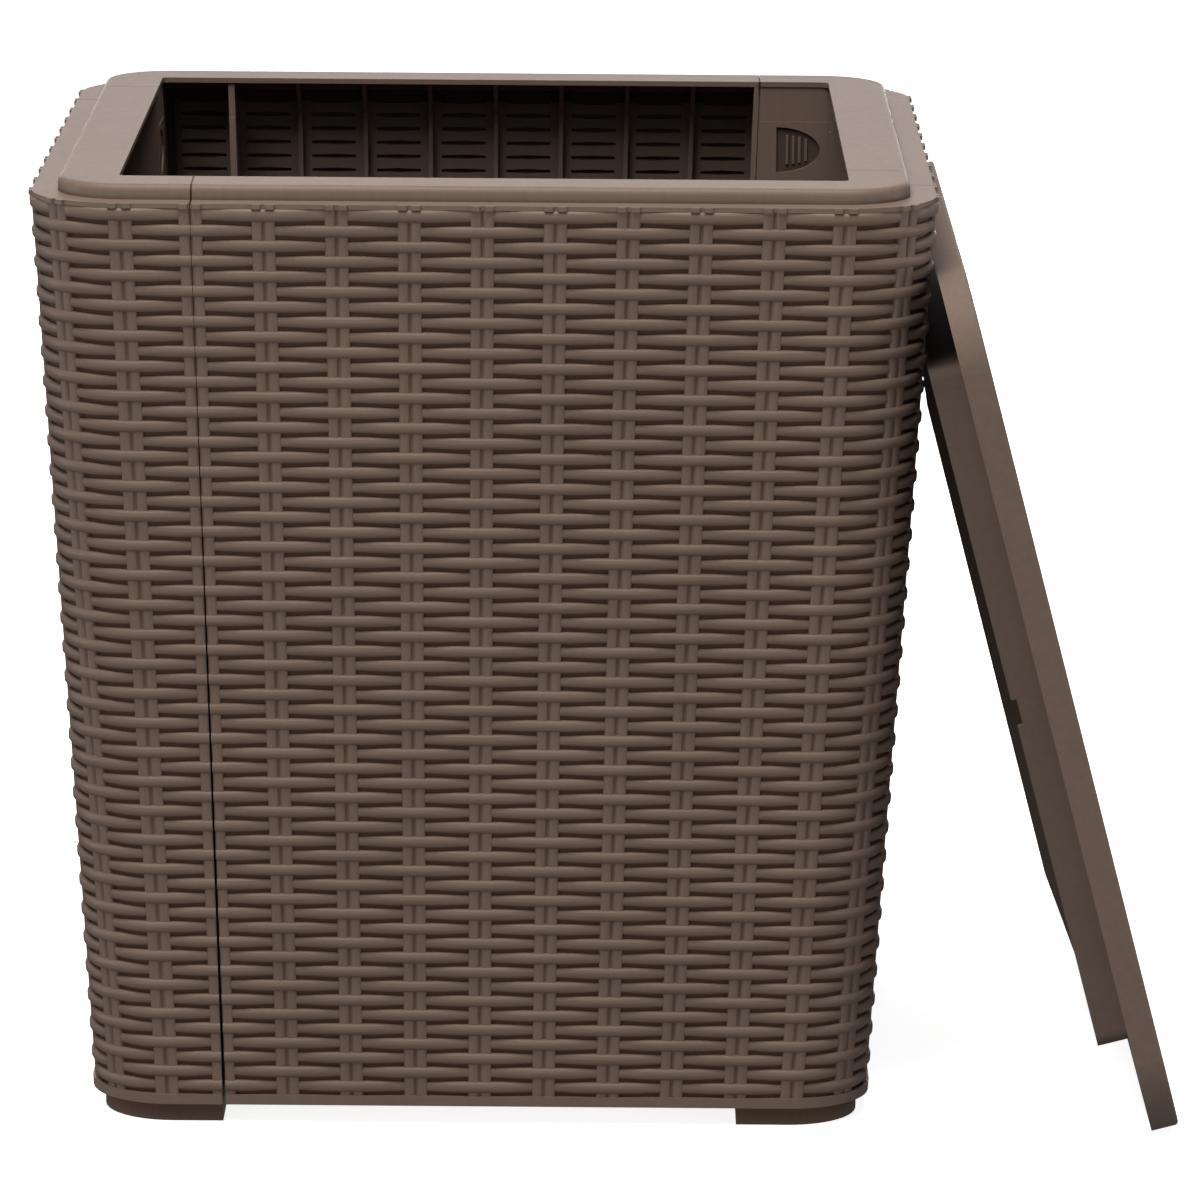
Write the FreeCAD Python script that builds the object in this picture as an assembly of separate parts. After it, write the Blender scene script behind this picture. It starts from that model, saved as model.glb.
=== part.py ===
import FreeCAD, Part
import math
import os

from FreeCAD import Rotation, Vector

# Garden storage table: a tapered box of four equal moulded panels with a weave-patterned face,
# a loose floor panel, and a lift-off table top that leans on the box's right side.
# Millimetres, Z up, origin on the ground under the middle of the box, front towards -Y.

# Overall form of the box, measured over the weave
top_width = 400.0
bottom_width = 350.4
ledge_height = 420.0
foot_height = 9.2
top_corner_radius = 44.0
bottom_corner_radius = 37.0

# Walls and what stands on their faces
wall = 2.4
weave_depth = 3.2
bottom_band = 4.6
bars_each_half = 4
bar_spacing = 5.9
bar_width = 4.1
bar_rise = 2.0
bar_chamfer = 0.5

# Ledge, the tabs on its edge over the bars, and raised rim round the opening
ledge_thickness = 2.0
tab_depth = 1.4
rim_inset = 13.0
rim_rise = 6.5
rim_plate = 2.4
rim_edge_radius = 4.0
opening_inset = 40.0
opening_corner_radius = 3.0

# Where one panel ends and the next begins
corner_length_top = 73.0
corner_length_bottom = 61.0
seam_gap_top = 0.3
seam_gap_bottom = 1.6

# Ribs, corner posts and end flanges inside the panels
depth_at_bottom = 24.0
rib = 2.0
rib_height = 8.0
gusset_height = 20.0
gusset_set_back = 2.0
post_rib = 3.0
post_plate = 2.5
end_flange = 2.5
root = 1.2

# Hooks that lock each panel to its neighbour
hook_count = 3
hook_rise = 14.0
hook_drop = 4.0
hook_catch = 2.6
hook_depth = 6.0
hook_clearance = 0.3
hook_from_post = 2.0

# Thumb recess on the return plate, under a step
recess_width = 21.0
recess_height = 22.0
recess_sink = 1.6
recess_below_rim = 21.8
recess_from_seam = 9.0
step_below_rim = 19.2
step_sink = 0.5
grip_ridges = 4
grip_from_flat = 5.2
grip_pitch = 3.0
grip_share = 0.66
grip_width = 1.2
grip_rise = 1.2

# Bottom flange, feet and floor panel
flange_width = 22.0
flange_thickness = 3.0
foot_inset = 6.5
foot_wall = 3.0
floor_thickness = 3.0
floor_clearance = 0.3
floor_edge_clearance = 0.6
floor_ribs = (-75.0, 0.0, 75.0)
floor_rib_depth = 5.0
floor_rib_end_gap = 1.5

# Lift-off top
lid_corner_radius = 40.0
lid_edge = 12.6
lid_plate = 3.0
lid_lip = 3.0
lid_edge_radius = 1.6
skirt_clearance = 1.0
skirt_wall = 2.5
skirt_below_edge = 14.0
notch_width = 12.0
notch_depth = 2.5
cross_rib = 2.2
cross_rib_proud = 4.6
cross_rib_ramp = 43.0
lid_lean = 14.84
lid_forward = 8.5
lean_clearance = 0.3

# Heights and half sizes that follow from them
rim_top = ledge_height + rim_rise
ledge_half = top_width / 2
rim_half = ledge_half - rim_inset
opening_half = ledge_half - opening_inset
flange_top = foot_height + flange_thickness
floor_low = flange_top + floor_clearance
rim_under = rim_top - rim_plate / 2
rib_low = floor_low + floor_thickness + floor_clearance
reach = 2 * top_width
UP = Vector(0, 0, 1)

# How far cutting shapes run past what they cut, and the slack for picking edges by height
over = 1.0
tolerance = 0.01


def at(z, low, high):
    """Value at height z of a straight taper from the wall's foot to the ledge."""
    return low + (high - low) * (z - foot_height) / (ledge_height - foot_height)


def weave_half(z):
    return at(z, bottom_width, top_width) / 2


def wall_half(z):
    return weave_half(z) - weave_depth


def wall_radius(z):
    return at(z, bottom_corner_radius, top_corner_radius) - weave_depth


def inner_half(z):
    """Half size of the storage space, where ribs and corner posts end."""
    return at(z, bottom_width / 2 - depth_at_bottom, opening_half)


def seam(z):
    """Distance of a panel's end from the middle of the side, at height z."""
    return at(z, bottom_width / 2 - corner_length_bottom, top_width / 2 - corner_length_top)


def half_gap(z):
    return at(z, seam_gap_bottom, seam_gap_top) / 2


def rounded_square(half, radius, z):
    """Closed wire of a square with round corners, level at height z."""
    flat = half - radius
    bow = radius * math.sqrt(0.5)
    edges = []
    for turn in range(4):
        spin = Rotation(UP, 90 * turn)
        start, end, middle, far = [
            spin.multVec(Vector(x, y, z))
            for x, y in ((-flat, -half), (flat, -half), (flat + bow, -flat - bow), (half, -flat))
        ]
        edges.append(Part.makeLine(start, end))
        edges.append(Part.Arc(end, middle, far).toShape())
    return Part.Wire(edges)


def prism(half, radius, low, high):
    return Part.Face(rounded_square(half, radius, low)).extrude(Vector(0, 0, high - low))


def tapered(half, radius, low, high):
    """Solid between two levels whose half size and corner radius are functions of height."""
    wires = [rounded_square(half(z), radius(z), z) for z in (low, high)]
    return Part.makeLoft(wires, True, True)


def region(left, right, front, back):
    """Upright block whose four sides are functions of height, for cutting out one panel."""
    low, high = [
        [Vector(x(z), y(z), z) for x, y in ((left, front), (right, front), (right, back), (left, back))]
        for z in (-reach, reach)
    ]
    sides = [[low[i - 1], low[i], high[i], high[i - 1]] for i in range(4)]
    loops = [low[::-1], high] + sides
    return Part.Solid(Part.Shell([Part.Face(Part.makePolygon(loop + loop[:1])) for loop in loops]))


def block(low, high):
    size = Vector(*high) - Vector(*low)
    return Part.makeBox(size.x, size.y, size.z, Vector(*low))


def turned(shape, quarter):
    """Copy of a shape turned by quarter turns about the box's upright middle line."""
    copy = shape.copy()
    copy.rotate(Vector(0, 0, 0), UP, 90 * quarter)
    return copy


def far(z):
    return reach


def near(z):
    return -reach


def panel_start(z):
    return half_gap(z) - seam(z)


def panel_end(z):
    return -seam(z) - half_gap(z)


def box_ring():
    """Wall, bottom band, bottom flange, ledge and rim, all the way round."""
    high = ledge_height - ledge_thickness
    band_top = foot_height + bottom_band
    skin = tapered(wall_half, wall_radius, foot_height, high)
    band = tapered(weave_half, lambda z: wall_radius(z) + weave_depth, foot_height, band_top)
    hollow = tapered(lambda z: wall_half(z) - wall, lambda z: wall_radius(z) - wall,
                     flange_top, ledge_height)
    flange_half = wall_half(foot_height) - flange_width
    way_through = prism(flange_half, opening_corner_radius, -reach, reach)
    walls = skin.fuse(band).cut(hollow).cut(way_through)

    ledge = prism(ledge_half - tab_depth, top_corner_radius - tab_depth, high, ledge_height)
    rim_radius = top_corner_radius - rim_inset
    rim = prism(rim_half, rim_radius, high, rim_top)
    top_edges = [edge for edge in rim.Edges if edge.BoundBox.ZMin > rim_top - tolerance]
    rim = rim.makeFillet(rim_edge_radius, top_edges)
    rim_room = prism(rim_half - rim_plate, rim_radius - rim_plate, high - over, rim_top - rim_plate)
    opening = prism(opening_half, opening_corner_radius, high - over, rim_top + over)
    return walls.fuse(ledge.fuse(rim).cut(rim_room).cut(opening)).removeSplitter()


def wall_depth(x, z):
    """Depth of the front wall's outer face at a lateral place, on the flat or on the round corner."""
    flat = wall_half(z) - wall_radius(z)
    past = max(0, x - flat)
    return flat + math.sqrt(wall_radius(z) ** 2 - past ** 2)


def upright_web(lateral, thickness, inner_edge):
    """Upright plate from the front wall in to an edge, given as depths and heights from its foot to
    the rim. Its lateral place is a function of height, and it grows towards +X from there."""
    ledge_under = ledge_height - ledge_thickness / 2
    inside_rim = rim_half - rim_plate / 2
    outline = [
        (wall_depth(lateral(rib_low) + thickness, rib_low) - root, rib_low),
        *inner_edge,
        (inside_rim, rim_under),
        (inside_rim, ledge_under),
        (wall_depth(lateral(ledge_under) + thickness, ledge_under) - root, ledge_under),
    ]
    points = [Vector(lateral(z), -depth, z) for depth, z in outline]
    return Part.Face(Part.makePolygon(points + points[:1])).extrude(Vector(thickness, 0, 0))


def straight_edge(depth):
    """Inner edge of a web that runs straight from its foot to the rim."""
    return [(depth(z), z) for z in (rib_low, rim_under)]


def gusset_edge():
    """Inner edge of a rib that is low on the wall and widens to a gusset under the rim."""
    on_wall = [(wall_half(z) - wall - rib_height, z) for z in (rib_low, rim_top - gusset_height)]
    return on_wall + [(inner_half(rim_under) + gusset_set_back, rim_under)]


def wall_ribs():
    """One rib behind each pair of upright bars, and a heavier one, flush with the opening, beside
    the corner."""
    ribs = []
    for place in range(1 - bars_each_half, bars_each_half):
        share = place / bars_each_half
        ribs.append(upright_web(lambda z: share * seam(z) - rib / 2, rib, gusset_edge()))
    ribs.append(upright_web(lambda z: seam(z) - post_rib / 2, post_rib, straight_edge(inner_half)))
    return ribs


def corner_post():
    """Plate flush with the opening that boxes in the return, from the front wall to the seam."""
    return upright_web(inner_half, post_plate, straight_edge(lambda z: -panel_end(z)))


def start_flange():
    return upright_web(panel_start, end_flange, straight_edge(inner_half))


def return_flange():
    """End plate of the return, turned from the front wall to the right-hand wall."""
    flange = upright_web(lambda z: panel_end(z) - end_flange, end_flange, straight_edge(inner_half))
    return turned(flange, 1)


def hook_places():
    """Height, front and back of each hook, between the floor and the ledge."""
    spacing = (ledge_height - rib_low) / (hook_count + 1)
    heights = [rib_low + spacing * (count + 1) for count in range(hook_count)]
    backs = [-inner_half(z) - post_plate - hook_from_post for z in heights]
    return [(z, back - hook_depth, back) for z, back in zip(heights, backs)]


def hooks():
    """Down-turned hooks on the start flange that pass through the neighbour's return flange."""
    made = []
    for z, front, back in hook_places():
        base = panel_start(z) + end_flange / 2
        tip = panel_end(z) - end_flange - hook_clearance - hook_catch
        profile = [
            (base, z),
            (base, z + hook_rise),
            (tip, z + hook_rise),
            (tip, z - hook_drop),
            (tip + hook_catch, z - hook_drop),
            (tip + hook_catch, z),
        ]
        points = [Vector(x, front, height) for x, height in profile]
        face = Part.Face(Part.makePolygon(points + points[:1]))
        made.append(face.extrude(Vector(0, back - front, 0)))
    return made


def hook_slots():
    """Slots in the return flange, tall enough for a hook to enter before it drops."""
    slots = []
    for z, front, back in hook_places():
        low = (panel_end(z) - 2 * end_flange, front - hook_clearance, z - hook_clearance)
        high = (panel_end(z) + end_flange, back + hook_clearance,
                z + hook_rise + hook_drop + hook_clearance)
        slots.append(turned(block(low, high), 1))
    return slots


def thumb_recess():
    """D-shaped hollow in the return plate, and its grip ridges, turned to the right-hand wall."""
    half_height = recess_height / 2
    middle = rim_top - recess_below_rim - half_height
    flat_x = panel_end(middle) - recess_from_seam
    floor_y = -inner_half(middle) - recess_sink
    centre = Vector(flat_x, floor_y, middle)
    high = Vector(flat_x, floor_y, middle + half_height)
    low = Vector(flat_x, floor_y, middle - half_height)
    oval = Part.Ellipse(centre - Vector(recess_width, 0, 0), high, centre)
    bow = Part.Arc(oval, -math.pi / 2, math.pi / 2).toShape()
    hollow = Part.Face(Part.Wire([Part.makeLine(low, high), bow])).extrude(Vector(0, 2 * recess_sink, 0))
    ridges = []
    for count in range(grip_ridges):
        from_flat = grip_from_flat + count * grip_pitch
        tall = grip_share * half_height * math.sqrt(1 - (from_flat / recess_width) ** 2)
        x = flat_x - from_flat - grip_width / 2
        back = (x, floor_y - root / 2, middle - tall)
        front = (x + grip_width, floor_y + grip_rise, middle + tall)
        ridges.append(turned(block(back, front), 1))
    return turned(hollow, 1), ridges


def return_step():
    """Room over the return plate that sets its plain top strip back, so the plate below stands proud."""
    strip = region(lambda z: -inner_half(z) - over, panel_end,
                   lambda z: -inner_half(z) - step_sink, lambda z: 0)
    level = block((-reach, -reach, rim_top - step_below_rim), (reach, reach, rim_top - rim_plate))
    return turned(strip.common(level), 1)


def foot():
    """Hollow corner foot, open below, under a plate that closes the corner of the flange."""
    outer_half = wall_half(foot_height) - foot_inset
    outer_radius = wall_radius(foot_height) - foot_inset
    edge = seam(foot_height) + half_gap(foot_height)
    corner = block((edge, -reach, 0), (reach, -edge, flange_top))
    shell = prism(outer_half, outer_radius, 0, foot_height).common(corner)
    room = prism(outer_half - foot_wall, outer_radius - foot_wall, -over, foot_height - foot_wall)
    inner = block((edge + foot_wall, -reach, -over), (reach, -edge - foot_wall, foot_height))
    plate = prism(wall_half(foot_height) - root, wall_radius(foot_height) - root, foot_height, flange_top)
    return shell.cut(room.common(inner)).fuse(plate.common(corner))


def corner_run(z):
    """Length of the wall's outline from the last bar of the flat face, round the corner, to the seam."""
    flat = wall_half(z) - wall_radius(z)
    return 2 * (flat - seam(z)) + wall_radius(z) * math.pi / 2


def outline_frame(distance, z):
    """Place on the wall's outline at height z, measured from the flat face's last bar, and the
    outward direction there."""
    half = wall_half(z)
    radius = wall_radius(z)
    flat = half - radius
    past = distance - (flat - seam(z))
    if past <= 0:
        return Vector(seam(z) + distance, -half, z), Vector(0, -1, 0)
    angle = min(past / radius, math.pi / 2)
    outward = Vector(math.sin(angle), -math.cos(angle), 0)
    straight = max(0, past - radius * math.pi / 2)
    return Vector(flat, -flat, z) + outward * radius + Vector(0, straight, 0), outward


def bar_distance(pair, z):
    """Outline distance of a pair of bars; pairs are counted from the middle of the front."""
    if pair <= bars_each_half:
        return (pair - bars_each_half) * seam(z) / bars_each_half
    return (pair - bars_each_half) * corner_run(z) / bars_each_half


def bar_frame(pair, side, z):
    return outline_frame(bar_distance(pair, z) + side * bar_spacing / 2, z)


def bar_face(middle, outward, rise):
    """Level, chamfered section of a bar that stands on the wall's outline."""
    along = Vector(-outward.y, outward.x, 0)
    edge = bar_width / 2
    profile = [(-edge, -root), (edge, -root), (edge, rise - bar_chamfer),
               (edge - bar_chamfer, rise), (bar_chamfer - edge, rise), (-edge, rise - bar_chamfer)]
    points = [middle + along * a + outward * b for a, b in profile]
    return Part.Face(Part.makePolygon(points + points[:1]))


def bar(pair, side):
    """One upright bar of the weave, from the bottom band to the ledge, and the tab that caps it."""
    low = foot_height + bottom_band - root
    high = ledge_height - ledge_thickness + root
    start = bar_frame(pair, side, low)[0]
    end = bar_frame(pair, side, high)[0]
    outward = bar_frame(pair, side, (low + high) / 2)[1]
    shaft = bar_face(start, outward, bar_rise).extrude(end - start)
    tab = bar_face(*bar_frame(pair, side, ledge_height), weave_depth)
    return shaft.fuse(tab.extrude(Vector(0, 0, -ledge_thickness)))


def bars():
    """Pairs of bars of one panel; a seam runs between the two bars of a pair."""
    last = 2 * bars_each_half
    made = [bar(-bars_each_half, 1), bar(last, -1)]
    for pair in range(1 - bars_each_half, last):
        made += [bar(pair, -1), bar(pair, 1)]
    return made


def front_panel():
    """Flat wall, rounded corner and short return, moulded in one piece with its foot."""
    own_part = region(panel_start, far, near, panel_end)
    shell = box_ring().common(own_part)
    pieces = wall_ribs() + [corner_post(), start_flange(), return_flange(), foot()] + bars()
    body = shell.multiFuse(pieces)
    recess, ridges = thumb_recess()
    body = body.cut(return_step()).cut(recess)
    body = body.cut(Part.makeCompound(hook_slots()))
    return body.multiFuse(hooks() + ridges).removeSplitter()


def floor_panel():
    """Loose floor, held between the bottom flange and the lower ends of the ribs."""
    half = wall_half(floor_low) - wall - floor_edge_clearance
    radius = wall_radius(floor_low) - wall - floor_edge_clearance
    plate = prism(half, radius, floor_low, floor_low + floor_thickness)
    span = wall_half(foot_height) - flange_width - floor_rib_end_gap
    ribs = []
    for place in floor_ribs:
        low = (place - rib / 2, -span, floor_low - floor_rib_depth)
        high = (place + rib / 2, span, floor_low + floor_thickness / 2)
        ribs += [block(low, high), turned(block(low, high), 1)]
    return plate.multiFuse(ribs).removeSplitter()


def cross_webs(span):
    """Two ribs that cross under the top: one stands proud of the skirt in its middle, and the
    other stays level with the floor of the skirt's notches."""
    skirt_end = -skirt_below_edge
    deep = skirt_end - cross_rib_proud
    ramp = span - cross_rib_ramp
    high = lid_edge - lid_plate / 2
    outline = [(-span, high), (span, high), (span, skirt_end), (ramp, deep), (-ramp, deep),
               (-span, skirt_end)]
    points = [Vector(x, -cross_rib / 2, z) for x, z in outline]
    proud = Part.Face(Part.makePolygon(points + points[:1])).extrude(Vector(0, cross_rib, 0))
    level = block((-cross_rib / 2, -span, skirt_end + notch_depth), (cross_rib / 2, span, high))
    return [proud, level]


def lid_in_own_frame():
    """Table top lying face up, its lip standing on the level of the ledge."""
    half = ledge_half
    top = prism(half, lid_corner_radius, 0, lid_edge)
    rim_edges = [edge for edge in top.Edges if edge.BoundBox.ZMin > lid_edge - tolerance]
    top = top.makeFillet(lid_edge_radius, rim_edges)
    top = top.cut(prism(half - lid_lip, lid_corner_radius - lid_lip, -over, lid_edge - lid_plate))

    skirt_half = opening_half - skirt_clearance
    skirt_radius = opening_corner_radius + skirt_wall
    skirt_high = lid_edge - lid_plate / 2
    skirt = prism(skirt_half, skirt_radius, -skirt_below_edge, skirt_high)
    inside = prism(skirt_half - skirt_wall, skirt_radius - skirt_wall, -reach, skirt_high + over)
    skirt = skirt.cut(inside)
    notch = block((-notch_width / 2, -reach, -skirt_below_edge - over),
                  (notch_width / 2, reach, notch_depth - skirt_below_edge))
    skirt = skirt.cut(notch).cut(turned(notch, 1))
    return top.multiFuse([skirt] + cross_webs(skirt_half - skirt_wall / 2)).removeSplitter()


def leaned_underside():
    """Corners of the underside of the top stood on its low edge at X = 0, from the high edge down."""
    skirt_half = opening_half - skirt_clearance
    deep = -skirt_below_edge - cross_rib_proud
    ramp = skirt_half - skirt_wall / 2 - cross_rib_ramp
    outline = [(-ledge_half, 0), (-skirt_half, -skirt_below_edge), (-ramp, deep),
               (ramp, deep), (skirt_half, -skirt_below_edge), (ledge_half, 0)]
    sine = math.sin(math.radians(lid_lean))
    cosine = math.cos(math.radians(lid_lean))
    along = [(ledge_half - x, z) for x, z in outline]
    return [(z * cosine - length * sine, length * cosine + z * sine) for length, z in along]


def lean_distance():
    """How far out the top's low edge stands, for its nearest corner to clear the weave or the ledge."""
    corners = leaned_underside()
    needs = [weave_half(z) - x for x, z in corners if z <= ledge_height]
    for (x_high, z_high), (x_low, z_low) in zip(corners, corners[1:]):
        if z_low <= ledge_height <= z_high:
            share = (ledge_height - z_low) / (z_high - z_low)
            needs.append(ledge_half - x_low - share * (x_high - x_low))
    return max(needs) + lean_clearance


def leaning_lid():
    """Top stood on one edge, leaning its underside on the right-hand wall."""
    lid = lid_in_own_frame()
    lid.translate(Vector(-ledge_half, 0, 0))
    lid.rotate(Vector(0, 0, 0), Vector(0, 1, 0), 90 - lid_lean)
    lid.translate(Vector(lean_distance(), -lid_forward, 0))
    return lid


def main():
    os.makedirs("parts", exist_ok=True)
    front = front_panel()
    names = ("front_panel", "right_panel", "back_panel", "left_panel")
    nodes = {name: turned(front, quarter) for quarter, name in enumerate(names)}
    nodes["floor_panel"] = floor_panel()
    nodes["table_top"] = leaning_lid()
    for name, shape in nodes.items():
        shape.exportStep(os.path.join("parts", name + ".step"))
        print(name, "valid" if shape.isValid() else "not valid", len(shape.Solids), "solid",
              round(shape.Volume / 1000, 1), "cm3")


main()
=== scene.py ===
import math

import bmesh
import bpy
from mathutils import Euler, Matrix, Vector


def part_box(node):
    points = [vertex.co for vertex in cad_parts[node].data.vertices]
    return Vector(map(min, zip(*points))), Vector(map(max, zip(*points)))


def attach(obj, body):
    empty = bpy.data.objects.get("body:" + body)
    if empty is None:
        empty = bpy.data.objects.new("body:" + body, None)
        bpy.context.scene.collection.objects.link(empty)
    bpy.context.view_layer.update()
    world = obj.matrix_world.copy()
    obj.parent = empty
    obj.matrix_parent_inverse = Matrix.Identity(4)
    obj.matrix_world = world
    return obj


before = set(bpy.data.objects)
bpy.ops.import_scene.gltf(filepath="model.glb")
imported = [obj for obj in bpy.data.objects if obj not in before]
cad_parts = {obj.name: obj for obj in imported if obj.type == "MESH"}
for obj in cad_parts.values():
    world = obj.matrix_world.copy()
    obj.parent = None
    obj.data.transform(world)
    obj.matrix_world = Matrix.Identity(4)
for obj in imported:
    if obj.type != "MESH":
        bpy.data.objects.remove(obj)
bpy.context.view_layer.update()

# Garden storage table. The moulded panels, the floor and the top come from the frame. This script
# adds the woven strands and rounded bars of the outer walls, the edge of the rim, the outside of the
# feet, the floors of the grip marks, the skin inside the walls, the finishes with painted shade in the
# grooves, along the seams and on the grip floors, the light and the camera.

MM = 0.001
SIDES = ("front", "right", "back", "left")
quarter_turn = math.pi / 2
near_enough = 0.01 * MM
sharp_edge = math.radians(55)

# Wall of one panel, as in the part. Its bars stand in pairs, counted from the middle of the side:
# the first pair is at the left seam, and the last at the seam past the corner.
ledge_half = -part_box("front_panel")[0].y
bottom_half = 175.2 * MM
ledge_height = 420 * MM
ledge_thickness = 2 * MM
foot_height = 9.2 * MM
top_corner_radius = 44 * MM
bottom_corner_radius = 37 * MM
weave_depth = 3.2 * MM
wall = 2.4 * MM
corner_length_top = 73 * MM
corner_length_bottom = 61 * MM
seam_gap_top = 0.3 * MM
seam_gap_bottom = 1.6 * MM
pairs_each_half = 4
first_pair = -pairs_each_half
last_pair = 2 * pairs_each_half

# Strands of the weave. The limits of slope, dip and taper are counted from the crest over one pair
# of bars, at 0, to the place under the next pair, at 1.
rows = 60
row_pitch = 6.731 * MM
top_row_height = 414.87 * MM
strand_half_height = 2.8 * MM
strand_narrowing = 0.52 * MM
strand_crest = 3.1 * MM
strand_shoulder = 1.8 * MM
strand_under = -0.05 * MM
strand_sunk = -0.1 * MM
strand_end_gap = 0.12 * MM
strand_to_ledge = 3.4 * MM
strand_slope = (0.08, 0.88)
strand_dip = (0.86, 0.96)
strand_taper = (0.35, 0.9)
strand_steps = 8
strand_ribs = 6
strand_roundness = 6

# Rounded faces over the bars: half of a pair's profile in millimetres, as distance from the middle
# of the pair and rise off the wall
bar_edge = -0.1
bar_profile = (
    (0, 0.9), (0.45, 1.0), (0.8, 1.75), (1.3, 2.08), (2.9, 2.14), (4.5, 2.08), (5.0, 1.7),
    (5.25, bar_edge),
)
bar_bottom = 13.8 * MM
bar_into_ledge = 0.2 * MM
bar_top = ledge_height - ledge_thickness + bar_into_ledge
bar_lengths = 12
just_past_pair = 1e-6

# Outer edge of the rim: its profile in millimetres, as distance in from the rim's face and height
rim_half = 187 * MM
rim_corner_radius = 31 * MM
rim_edge_gap = 0.3 * MM
rim_profile = (
    (4.4, 426.53), (2.9, 426.53), (2.2, 426.44), (1.5, 426.16), (0.9, 425.72), (0.4, 425.05),
    (0.1, 424.3), (-0.03, 423.5), (-0.03, 420),
)
corner_arc_steps = 14

# Fuller outside of the corner foot: its profile in millimetres, as distance in from the wall and
# height
foot_profile = ((2.3, 9.3), (2.3, 0.6), (2.45, 0.2), (2.8, 0.05), (7.5, 0.05))
foot_deep = 7.5 * MM

# Grip mark in the return plate of each panel
rib_depth = 24 * MM
opening_half = 160 * MM
grip_width = 21 * MM
grip_height = 22 * MM
grip_middle = 393.7 * MM
grip_from_seam = 9.5 * MM
grip_sink = 1.6 * MM
grip_fit = 0.1 * MM
grip_steps = 64

# Raised skin on the inner face of the wall, between the ribs, with a slot behind each groove of the
# weave. The slot's place and its end are shares of the way from rib to rib.
skin_rise = 2.2 * MM
skin_strips = 5
skin_raised_lines = (2, 3)
slot_half_height = 1.15 * MM
slot_end_half_height = 0.75 * MM
slot_edge = 0.2 * MM
slot_from_rib = 0.16
slot_end = 0.012

# Colours of the moulded plastic, and the browns that paint shade
brown = (0.132, 0.0925, 0.071)
floor_brown = (0.126, 0.085, 0.064)
top_brown = (0.13, 0.094, 0.075)
# Painted shade for the grooves of the weave, the inner wall, the seams and the sunk edges
painted_shade_brown = (0.054, 0.028, 0.016)
# Painted shade for the floors of the grip marks
grip_shade_brown = (0.064, 0.043, 0.032)
even_colour = 0.08
weave_colour = 0.13
patch_share = 0.45

# Patterns of the plastic: cells to the metre along x, y and z
gloss_scale = (240, 240, 240)
patch_scale = (18, 18, 18)
panel_streaks = (300, 300, 40)
strand_streaks = (50, 50, 900)
bar_streaks = (900, 900, 50)
floor_streaks = (40, 700, 40)
top_streaks = (300, 300, 300)
fine_grain = (2200, 2200, 2200)
floor_grain = (1600, 1600, 1600)
top_grain = (1400, 1400, 1400)
streak_detail = 3
grain_detail = 2
noise_low = 0.3
noise_high = 0.7

# Gloss and bump of the plastic
plastic_shine = 0.14
top_shine = 0.04
gloss_spread = 0.02
bump_strength = 0.5

# Painted shade in the weave's grooves, on the inner wall and along the seams: where it starts to
# fade and where it ends, off the wall or the seam, or as depth in the weave
groove_shade_fade = (0.3 * MM, 1.4 * MM)
inner_groove_shade_fade = (0.3 * MM, 1.2 * MM)
inner_groove_shade_share = 0.85
seam_shade_fade = (0.42 * MM, 0.62 * MM)
seam_shade_below_ledge = 0.5 * MM
strand_painted_shade = (0.62, 1)
bar_painted_shade = (0.5, 1.2)

# Studio floor and surroundings
white = (1, 1, 1, 1)
ground_grey = (0.9, 0.9, 0.9, 1)
ground_half = 6
ground_roughness = 0.9
ground_glow = 0.85
light_all_round = 0.2
white_for_camera = 1.0

# Soft lamps: name, place, point that it faces, width, height and watts
box_middle = (0, 0, 0.22)
behind_middle = (0, 0.2, 0.22)
lamps = (
    ("overhead", (-0.1, -0.5, 3.1), (0, -0.1, 0.3), 1.9, 1.9, 118),
    ("high_front", (-0.85, -1.65, 2.7), (0.05, 0, 0.25), 1.3, 1.3, 37),
    ("low_front", (-0.6, -2.2, 0.2), box_middle, 2.2, 0.4, 14),
    ("low_left", (-1.95, -1.5, 0.2), box_middle, 1.4, 0.4, 4),
    ("low_right", (1.95, -1.5, 0.2), box_middle, 1.4, 0.4, 9),
    ("low_side_left", (-2.4, 0.2, 0.2), behind_middle, 1.4, 0.4, 14),
    ("low_side_right", (2.4, 0.2, 0.2), behind_middle, 1.4, 0.4, 14),
    ("low_back", (0, 2.4, 0.2), box_middle, 1.4, 0.4, 20),
    ("backdrop", (0.05, 2.6, 0.95), (0.05, 0, 0.4), 2.4, 1.6, 21),
)

# Camera at the photograph's angle: tilt and roll in degrees, lens and sensor in millimetres
camera_place = (52.21 * MM, -3348.74 * MM, 902.165 * MM)
camera_tilt = 11.764
camera_roll = 0.443
camera_lens = 220.36
camera_sensor = 36
camera_reach = 50


def taper(z, low, high):
    """Value at height z of a straight taper from the wall's foot to the ledge."""
    return low + (high - low) * (z - foot_height) / (ledge_height - foot_height)


def wall_half(z):
    """Distance of a panel's outer wall from the middle of the box."""
    return taper(z, bottom_half, ledge_half) - weave_depth


def wall_radius(z):
    """Radius of the wall's rounded corner."""
    return taper(z, bottom_corner_radius, top_corner_radius) - weave_depth


def seam(z):
    """Distance of a panel's end from the middle of the side."""
    return taper(z, bottom_half - corner_length_bottom, ledge_half - corner_length_top)


def corner_run(z):
    """Length of the wall's outline from the last pair before the corner to the seam past it."""
    flat = wall_half(z) - wall_radius(z)
    return 2 * (flat - seam(z)) + wall_radius(z) * quarter_turn


def smooth_step(value, start, end):
    """Smooth rise from 0 at start to 1 at end."""
    share = min(1, max(0, (value - start) / (end - start)))
    return share * share * (3 - 2 * share)


def grid_line(place, strips):
    """Number of a grid's line, counted from 0, by its place between -1 and 1."""
    return round((place + 1) / 2 * strips)


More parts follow.
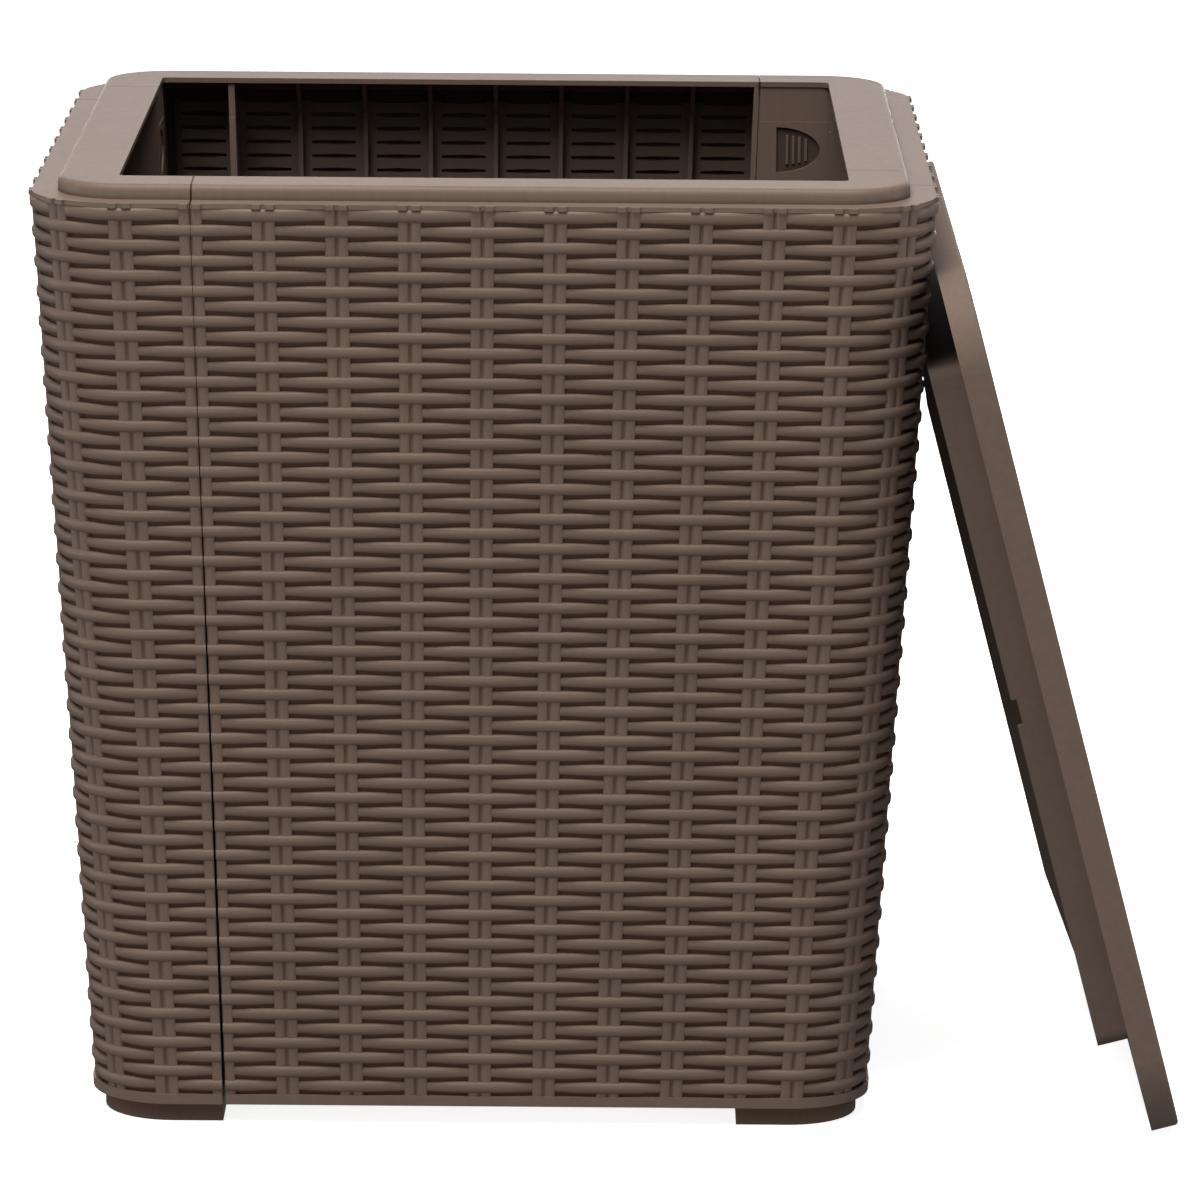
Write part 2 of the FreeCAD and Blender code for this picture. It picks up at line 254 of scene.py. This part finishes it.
def on_wall(pair, z, rise):
    """Point that stands off the front panel's outer wall, at a pair of bars or between two."""
    end = seam(z)
    run = corner_run(z)
    half_gap = max(strand_end_gap, taper(z, seam_gap_bottom, seam_gap_top) / 2 - strand_end_gap)
    if pair <= pairs_each_half:
        distance = max((pair - pairs_each_half) * end / pairs_each_half, half_gap - 2 * end)
    else:
        distance = min((pair - pairs_each_half) * run / pairs_each_half, run - half_gap)
    radius = wall_radius(z)
    flat = wall_half(z) - radius
    past = distance - (flat - end)
    if past <= 0:
        return Vector((end + distance, -wall_half(z) - rise, z))
    angle = min(past / radius, quarter_turn)
    straight = max(0, past - radius * quarter_turn)
    reach = radius + rise
    return Vector((flat + reach * math.sin(angle), -flat - reach * math.cos(angle) + straight, z))


def weave_shape():
    """Empty shape whose points keep their depth in the weave, for the painted shade."""
    shape = bmesh.new()
    shape.verts.layers.float.new("depth")
    return shape


def strand_rise(from_crest):
    """Height of a strand's face off the wall: most on the crest, least under the next pair."""
    rise = strand_crest
    rise -= (strand_crest - strand_shoulder) * smooth_step(from_crest, *strand_slope)
    rise -= (strand_shoulder - strand_under) * smooth_step(from_crest, *strand_dip)
    return rise


def add_strand(shape, row):
    """One strand across the panel: over every second pair of bars and under the ones between."""
    columns = strand_steps * (last_pair - first_pair)
    middle = top_row_height - row * row_pitch
    depth = shape.verts.layers.float["depth"]
    grid = bmesh.ops.create_grid(shape, x_segments=columns + 2, y_segments=strand_ribs, size=1)
    for vert in grid["verts"]:
        column = grid_line(vert.co.x, columns + 2) - 1
        at_end = column < 0 or column > columns
        pair = first_pair + min(max(column, 0), columns) / strand_steps
        from_crest = abs((pair - row) % 2 - 1)
        across = math.sin(vert.co.y * quarter_turn)
        rise = strand_rise(from_crest)
        half = strand_half_height - strand_narrowing * smooth_step(from_crest, *strand_taper)
        bulge = max(0, 1 - abs(across) ** strand_roundness) ** 0.5
        lift = strand_sunk if at_end else strand_sunk + (rise - strand_sunk) * bulge
        if row == 0 and across > 0:
            half = strand_to_ledge
        vert.co = on_wall(pair, middle + half * across, lift)
        vert[depth] = 1 - lift / strand_crest


def woven_strands():
    """All strands of a panel, from the ledge down."""
    shape = weave_shape()
    for row in range(rows):
        add_strand(shape, row)
    return shape


def off_pair(pair, z):
    """Share of the way to the next pair of bars that one millimetre along the wall takes."""
    spacing = seam(z) if pair <= pairs_each_half else corner_run(z)
    return pairs_each_half * MM / spacing


def add_bar_faces(shape, pair):
    """Two rounded bars with a shallow groove between them, or the one bar beside a seam."""
    left = [(-place, rise) for place, rise in reversed(bar_profile)]
    right = list(bar_profile)
    profile = left + right[1:]
    if pair == first_pair:
        profile = [(0, bar_edge)] + right
    if pair == last_pair:
        profile = left + [(0, bar_edge)]
    depth = shape.verts.layers.float["depth"]
    last = len(profile) - 1
    grid = bmesh.ops.create_grid(shape, x_segments=last, y_segments=bar_lengths, size=1)
    for vert in grid["verts"]:
        place, rise = profile[grid_line(vert.co.x, last)]
        z = bar_bottom + (vert.co.y + 1) / 2 * (bar_top - bar_bottom)
        side = just_past_pair if place > 0 else 0
        vert.co = on_wall(pair + place * off_pair(pair + side, z), z, rise * MM)
        vert[depth] = 1 - rise * MM / strand_crest


def bar_faces():
    """Faces of all bars of a panel, from seam to seam."""
    shape = weave_shape()
    for pair in range(first_pair, last_pair + 1):
        add_bar_faces(shape, pair)
    return shape


def corner_strip(profile, half, radius, start, end):
    """Strip of a given profile from start on the front, round the corner, to end on the side."""
    shape = bmesh.new()
    columns = corner_arc_steps + 2
    last = len(profile) - 1
    grid = bmesh.ops.create_grid(shape, x_segments=columns, y_segments=last, size=1)
    flat = half - radius
    for vert in grid["verts"]:
        column = grid_line(vert.co.x, columns)
        inset, z = [value * MM for value in profile[grid_line(-vert.co.y, last)]]
        angle = min(max(column - 1, 0), corner_arc_steps) / corner_arc_steps * quarter_turn
        x = flat + (radius - inset) * math.sin(angle)
        y = -flat - (radius - inset) * math.cos(angle)
        if column == 0:
            x = start
        if column == columns:
            y = end
        vert.co = (x, y, z)
    return shape


def rim_edge():
    """Outer edge of a panel's rim, from seam to seam, with a tighter rounding than the frame's."""
    end = seam(ledge_height) + rim_edge_gap
    return corner_strip(rim_profile, rim_half, rim_corner_radius, 2 * rim_edge_gap - end, -end)


def on_foot_end(edge, end):
    """Whether an edge lies on one of the two ends of a foot's outside."""
    on_front = all(abs(vert.co.x - end) < near_enough for vert in edge.verts)
    on_side = all(abs(vert.co.y + end) < near_enough for vert in edge.verts)
    return on_front or on_side


def foot_side():
    """Outside of a corner foot, with its two ends closed back to the wall of the foot."""
    half = wall_half(foot_height)
    end = seam(foot_height) + seam_gap_bottom / 2
    shape = corner_strip(foot_profile, half, wall_radius(foot_height), end, -end)
    ends = [edge for edge in shape.edges if edge.is_boundary and on_foot_end(edge, end)]
    made = bmesh.ops.extrude_edge_only(shape, edges=ends)["geom"]
    for vert in [item for item in made if isinstance(item, bmesh.types.BMVert)]:
        if abs(vert.co.x - end) < abs(vert.co.y + end):
            vert.co.y = foot_deep - half
        else:
            vert.co.x = half - foot_deep
    bmesh.ops.recalc_face_normals(shape, faces=shape.faces[:])
    return shape


def grip_shade_floor():
    """D-shaped sheet on the floor of the grip mark in a panel's return plate, in painted shade."""
    shape = bmesh.new()
    made = bmesh.ops.create_circle(shape, cap_ends=True, segments=grip_steps, radius=1)
    whole = made["verts"] + shape.edges[:] + shape.faces[:]
    middle = (0, 0, 0)
    bmesh.ops.bisect_plane(shape, geom=whole, plane_co=middle, plane_no=(1, 0, 0), clear_outer=True)
    size = (grip_width - grip_fit, grip_height / 2 - grip_fit, 1)
    bmesh.ops.scale(shape, verts=shape.verts[:], vec=size)
    stand = Matrix.Rotation(-quarter_turn, 4, "X")
    inner = taper(grip_middle, bottom_half - rib_depth, opening_half)
    spot = (-seam(grip_middle) - grip_from_seam, grip_fit - grip_sink - inner, grip_middle)
    place = Matrix.Translation(spot)
    quarter = Matrix.Rotation(quarter_turn, 4, "Z")
    bmesh.ops.transform(shape, verts=shape.verts[:], matrix=quarter @ place @ stand)
    return shape


def skin_heights(slot):
    """Heights of the skin's lines off the strand's middle, for slots of a given half height."""
    edge = row_pitch / 2
    low = (-edge, slot - slot_edge - edge, slot - edge)
    high = (edge - slot, edge - slot + slot_edge, edge)
    return low + high


def add_skin(shape, pair, row):
    """Skin behind one strand, from rib to rib, with half a slot along its two long edges."""
    near = slot_from_rib + slot_end
    columns = (0, slot_from_rib, near, 0.5, 1 - near, 1 - slot_from_rib, 1)
    last = len(columns) - 1
    middle = top_row_height - row * row_pitch
    grid = bmesh.ops.create_grid(shape, x_segments=last, y_segments=skin_strips, size=1)
    for vert in grid["verts"]:
        column = grid_line(-vert.co.x, last)
        line = grid_line(vert.co.y, skin_strips)
        slot = slot_half_height if column == last / 2 else slot_end_half_height
        z = middle + skin_heights(slot)[line]
        in_slot = 1 < column < last - 1 and line not in skin_raised_lines
        past_last_rib = pair == pairs_each_half and column == last
        lift = strand_sunk if in_slot or past_last_rib else skin_rise
        x = (pair + columns[column]) * seam(z) / pairs_each_half
        vert.co = Vector((x, lift + wall - wall_half(z), z))


def inner_relief():
    """Skin of a panel's inner wall, behind every strand but the top one."""
    shape = bmesh.new()
    for pair in range(first_pair, pairs_each_half + 1):
        for row in range(1, rows):
            add_skin(shape, pair, row)
    return shape


def add_to_panels(name, shape, material):
    """Puts a shape made for the front panel on all four, each turned a quarter further round."""
    mesh = bpy.data.meshes.new(name)
    shape.to_mesh(mesh)
    shape.free()
    mesh.shade_smooth()
    mesh.set_sharp_from_angle(angle=sharp_edge)
    mesh.materials.append(material)
    for quarter, side in enumerate(SIDES):
        turned = mesh.copy()
        turned.transform(Matrix.Rotation(quarter * quarter_turn, 4, "Z"))
        piece = bpy.data.objects.new(f"{name}_{side}", turned)
        bpy.context.scene.collection.objects.link(piece)
        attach(piece, "box")


class Finish:
    """Plastic whose patterns follow the piece's own coordinates, in metres."""

    def __init__(self, name, roughness, shine=plastic_shine):
        self.material = bpy.data.materials.new(name)
        self.material.use_nodes = True
        self.nodes = self.material.node_tree.nodes
        self.links = self.material.node_tree.links
        self.shader = self.nodes["Principled BSDF"]
        self.shader.inputs["Specular IOR Level"].default_value = shine
        self.place = self.nodes.new("ShaderNodeTexCoord").outputs["Object"]
        gloss = self.noise(gloss_scale, grain_detail)
        uneven = self.spread(gloss, roughness - gloss_spread, roughness + gloss_spread)
        self.links.new(uneven, self.shader.inputs["Roughness"])

    def axes(self):
        """The piece's own x, y and z."""
        split = self.nodes.new("ShaderNodeSeparateXYZ")
        self.links.new(self.place, split.inputs["Vector"])
        return split.outputs

    def math(self, operation, first, second=0.0):
        node = self.nodes.new("ShaderNodeMath")
        node.operation = operation
        for socket, value in zip(node.inputs, (first, second)):
            if isinstance(value, (int, float)):
                socket.default_value = value
            else:
                self.links.new(value, socket)
        return node.outputs["Value"]

    def noise(self, scale, detail):
        mapping = self.nodes.new("ShaderNodeMapping")
        mapping.inputs["Scale"].default_value = scale
        self.links.new(self.place, mapping.inputs["Vector"])
        texture = self.nodes.new("ShaderNodeTexNoise")
        texture.inputs["Scale"].default_value = 1
        texture.inputs["Detail"].default_value = detail
        self.links.new(mapping.outputs["Vector"], texture.inputs["Vector"])
        return texture.outputs["Fac"]

    def spread(self, source, low, high, start=noise_low, end=noise_high):
        """Goes from low to high while the source goes from start to end."""
        node = self.nodes.new("ShaderNodeMapRange")
        limits = {"From Min": start, "From Max": end, "To Min": low, "To Max": high}
        for socket, value in limits.items():
            node.inputs[socket].default_value = value
        self.links.new(source, node.inputs["Value"])
        return node.outputs["Result"]

    def mix(self, share, first, second):
        node = self.nodes.new("ShaderNodeMix")
        node.data_type = "RGBA"
        self.links.new(share, node.inputs["Factor"])
        for socket, value in (("A", first), ("B", second)):
            if isinstance(value, tuple):
                node.inputs[socket].default_value = (*value, 1)
            else:
                self.links.new(value, node.inputs[socket])
        return node.outputs["Result"]

    def painted_weave_shade(self, start, end):
        """Share of painted shade: 0 on the face of a strand or bar, up to 1 where it sinks into the
        weave.
        """
        depth = self.nodes.new("ShaderNodeAttribute")
        depth.attribute_name = "depth"
        return self.spread(depth.outputs["Fac"], 0, 1, start, end)

    def mottled(self, colour, streak, unevenness=even_colour):
        """Uneven colour: broad soft patches and finer streaks."""
        patches = self.spread(self.noise(patch_scale, streak_detail), 0, patch_share)
        share = self.math("ADD", patches, self.spread(streak, 0, 1 - patch_share))
        darker = tuple((1 - unevenness) * part for part in colour)
        lighter = tuple((1 + unevenness) * part for part in colour)
        return self.mix(share, darker, lighter)

    def rough_skin(self, streak, grain_scale, streak_height, grain_height):
        """Fine moulded grain under the streaks, as bump."""
        grain = self.noise(grain_scale, grain_detail)
        normal = None
        for height, distance in ((grain, grain_height), (streak, streak_height)):
            bump = self.nodes.new("ShaderNodeBump")
            bump.inputs["Strength"].default_value = bump_strength
            bump.inputs["Distance"].default_value = distance
            self.links.new(height, bump.inputs["Height"])
            if normal:
                self.links.new(normal, bump.inputs["Normal"])
            normal = bump.outputs["Normal"]
        self.links.new(normal, self.shader.inputs["Normal"])

    def colour(self, source):
        self.links.new(source, self.shader.inputs["Base Color"])


def painted_groove_shade(finish):
    """Painted shade: 1 on the outer wall between bars and strands, less on the inner wall, 0 elsewhere.
    """
    x, y, height = finish.axes()
    radius = finish.spread(height, wall_radius(0), wall_radius(ledge_height), 0, ledge_height)
    half = finish.spread(height, wall_half(0), wall_half(ledge_height), 0, ledge_height)
    flat = finish.math("SUBTRACT", half, radius)
    past = [finish.math("SUBTRACT", finish.math("ABSOLUTE", axis), flat) for axis in (x, y)]
    corner = [finish.math("POWER", finish.math("MAXIMUM", side, 0), 2) for side in past]
    outside = finish.math("SQRT", finish.math("ADD", *corner))
    inside = finish.math("MINIMUM", finish.math("MAXIMUM", *past), 0)
    distance = finish.math("SUBTRACT", finish.math("ADD", outside, inside), radius)
    outer = finish.spread(finish.math("ABSOLUTE", distance), 1, 0, *groove_shade_fade)
    behind = finish.math("ABSOLUTE", finish.math("ADD", distance, wall))
    inner = finish.spread(behind, inner_groove_shade_share, 0, *inner_groove_shade_fade)
    below_ledge = finish.math("LESS_THAN", height, ledge_height - ledge_thickness)
    return finish.math("MULTIPLY", finish.math("MAXIMUM", outer, inner), below_ledge)


def painted_seam_shade(finish):
    """Painted shade: 1 along the seams between the panels, on the ledge and the rim, where the gap is.
    """
    x, y, height = finish.axes()
    end = finish.spread(height, seam(0), seam(ledge_height), 0, ledge_height)
    beside = finish.math("MULTIPLY", x, finish.math("SIGN", y))
    along = finish.math("MULTIPLY", y, finish.math("SIGN", x))
    front_or_back = finish.math("ABSOLUTE", finish.math("SUBTRACT", beside, end))
    right_or_left = finish.math("ABSOLUTE", finish.math("ADD", along, end))
    facing = finish.math("GREATER_THAN", finish.math("ABSOLUTE", y), finish.math("ABSOLUTE", x))
    change = finish.math("MULTIPLY", facing, finish.math("SUBTRACT", front_or_back, right_or_left))
    near = finish.spread(finish.math("ADD", right_or_left, change), 1, 0, *seam_shade_fade)
    above = finish.math("GREATER_THAN", height, ledge_height - seam_shade_below_ledge)
    return finish.math("MULTIPLY", near, above)


def panel_plastic():
    """Moulded panels with a smooth skin and painted shade in the weave's grooves and along the seams.
    """
    finish = Finish("panel_plastic", roughness=0.5)
    streak = finish.noise(panel_streaks, streak_detail)
    painted_shade_share = finish.math("MAXIMUM", painted_groove_shade(finish), painted_seam_shade(finish))
    finish.colour(finish.mix(painted_shade_share, finish.mottled(brown, streak), painted_shade_brown))
    finish.rough_skin(streak, fine_grain, streak_height=0.02 * MM, grain_height=0.015 * MM)
    return finish.material


def strand_plastic():
    """Strands of the weave: streaks run along them, and painted shade darkens their sunk edges."""
    finish = Finish("strand_plastic", roughness=0.48)
    streak = finish.noise(strand_streaks, streak_detail)
    painted_shade_share = finish.painted_weave_shade(*strand_painted_shade)
    finish.colour(finish.mix(painted_shade_share, finish.mottled(brown, streak, weave_colour), painted_shade_brown))
    finish.rough_skin(streak, fine_grain, streak_height=0.12 * MM, grain_height=0.05 * MM)
    return finish.material


def bar_plastic():
    """Bars of the weave: streaks run up them, and painted shade darkens the groove between two bars."""
    finish = Finish("bar_plastic", roughness=0.5)
    streak = finish.noise(bar_streaks, streak_detail)
    painted_shade_share = finish.painted_weave_shade(*bar_painted_shade)
    finish.colour(finish.mix(painted_shade_share, finish.mottled(brown, streak, weave_colour), painted_shade_brown))
    finish.rough_skin(streak, fine_grain, streak_height=0.1 * MM, grain_height=0.05 * MM)
    return finish.material


def grip_shade_plastic():
    """Floor of the grip marks: the same plastic in a darker brown that paints the recess's shade."""
    finish = Finish("grip_shade_plastic", roughness=0.6)
    streak = finish.noise(panel_streaks, streak_detail)
    finish.colour(finish.mottled(grip_shade_brown, streak))
    finish.rough_skin(streak, fine_grain, streak_height=0.02 * MM, grain_height=0.015 * MM)
    return finish.material


def floor_plastic():
    """Loose floor of the box, with streaks along it."""
    finish = Finish("floor_plastic", roughness=0.6)
    streak = finish.noise(floor_streaks, streak_detail)
    finish.colour(finish.mottled(floor_brown, streak))
    finish.rough_skin(streak, floor_grain, streak_height=0.08 * MM, grain_height=0.06 * MM)
    return finish.material


def top_plastic():
    """Table top with an even fine grain."""
    finish = Finish("top_plastic", roughness=0.62, shine=top_shine)
    streak = finish.noise(top_streaks, streak_detail)
    finish.colour(finish.mottled(top_brown, streak))
    finish.rough_skin(streak, top_grain, streak_height=0.06 * MM, grain_height=0.08 * MM)
    return finish.material


def finish_node(name, material):
    """Gives a piece of the frame its finish."""
    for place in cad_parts[name].material_slots:
        place.material = material


def pale_floor():
    """Plain pale floor that shows to the camera and throws no light on the object."""
    shape = bmesh.new()
    bmesh.ops.create_grid(shape, x_segments=1, y_segments=1, size=ground_half)
    mesh = bpy.data.meshes.new("pale_floor")
    shape.to_mesh(mesh)
    shape.free()
    material = bpy.data.materials.new("pale_floor")
    material.use_nodes = True
    shader = material.node_tree.nodes["Principled BSDF"]
    shader.inputs["Base Color"].default_value = ground_grey
    shader.inputs["Roughness"].default_value = ground_roughness
    shader.inputs["Emission Color"].default_value = white
    shader.inputs["Emission Strength"].default_value = ground_glow
    mesh.materials.append(material)
    ground = bpy.data.objects.new("pale_floor", mesh)
    bpy.context.scene.collection.objects.link(ground)
    ground.visible_diffuse = False
    ground.visible_glossy = False


def soft_light(name, place, aim, width, height, watts):
    """Rectangular lamp that faces a point and doesn't show itself."""
    lamp = bpy.data.lights.new(name, "AREA")
    lamp.shape = "RECTANGLE"
    lamp.size = width
    lamp.size_y = height
    lamp.energy = watts
    holder = bpy.data.objects.new(name, lamp)
    holder.location = place
    holder.visible_camera = False
    holder.rotation_euler = (Vector(aim) - Vector(place)).to_track_quat("-Z", "Y").to_euler()
    bpy.context.scene.collection.objects.link(holder)


def studio_light():
    """White surroundings for the camera, weaker ones for the object, and the soft lamps."""
    world = bpy.data.worlds.new("studio")
    world.use_nodes = True
    nodes = world.node_tree.nodes
    links = world.node_tree.links
    around = nodes["Background"]
    around.inputs["Color"].default_value = white
    around.inputs["Strength"].default_value = light_all_round
    seen = nodes.new("ShaderNodeBackground")
    seen.inputs["Color"].default_value = white
    seen.inputs["Strength"].default_value = white_for_camera
    either = nodes.new("ShaderNodeMixShader")
    links.new(nodes.new("ShaderNodeLightPath").outputs["Is Camera Ray"], either.inputs[0])
    links.new(around.outputs["Background"], either.inputs[1])
    links.new(seen.outputs["Background"], either.inputs[2])
    links.new(either.outputs["Shader"], nodes["World Output"].inputs["Surface"])
    bpy.context.scene.world = world
    for lamp in lamps:
        soft_light(*lamp)
    bpy.context.scene.view_settings.view_transform = "Standard"


def camera():
    """Camera that looks down at the box, with a slight roll."""
    lens = bpy.data.cameras.new("camera")
    lens.lens = camera_lens
    lens.sensor_width = camera_sensor
    lens.clip_end = camera_reach
    holder = bpy.data.objects.new("camera", lens)
    holder.location = camera_place
    tilt = Euler((math.radians(90 - camera_tilt), 0, 0)).to_matrix()
    roll = Matrix.Rotation(math.radians(camera_roll), 3, "Z")
    holder.rotation_euler = (tilt @ roll).to_euler()
    bpy.context.scene.collection.objects.link(holder)
    bpy.context.scene.camera = holder


panel_finish = panel_plastic()
for side in SIDES:
    finish_node(f"{side}_panel", panel_finish)
finish_node("floor_panel", floor_plastic())
finish_node("table_top", top_plastic())
add_to_panels("woven_strands", woven_strands(), strand_plastic())
add_to_panels("bar_faces", bar_faces(), bar_plastic())
add_to_panels("rim_edge", rim_edge(), panel_finish)
add_to_panels("foot_side", foot_side(), panel_finish)
# Sheets in painted shade on the floors of the grip marks
add_to_panels("grip_shade_floor", grip_shade_floor(), grip_shade_plastic())
add_to_panels("inner_relief", inner_relief(), panel_finish)

pale_floor()
studio_light()
camera()
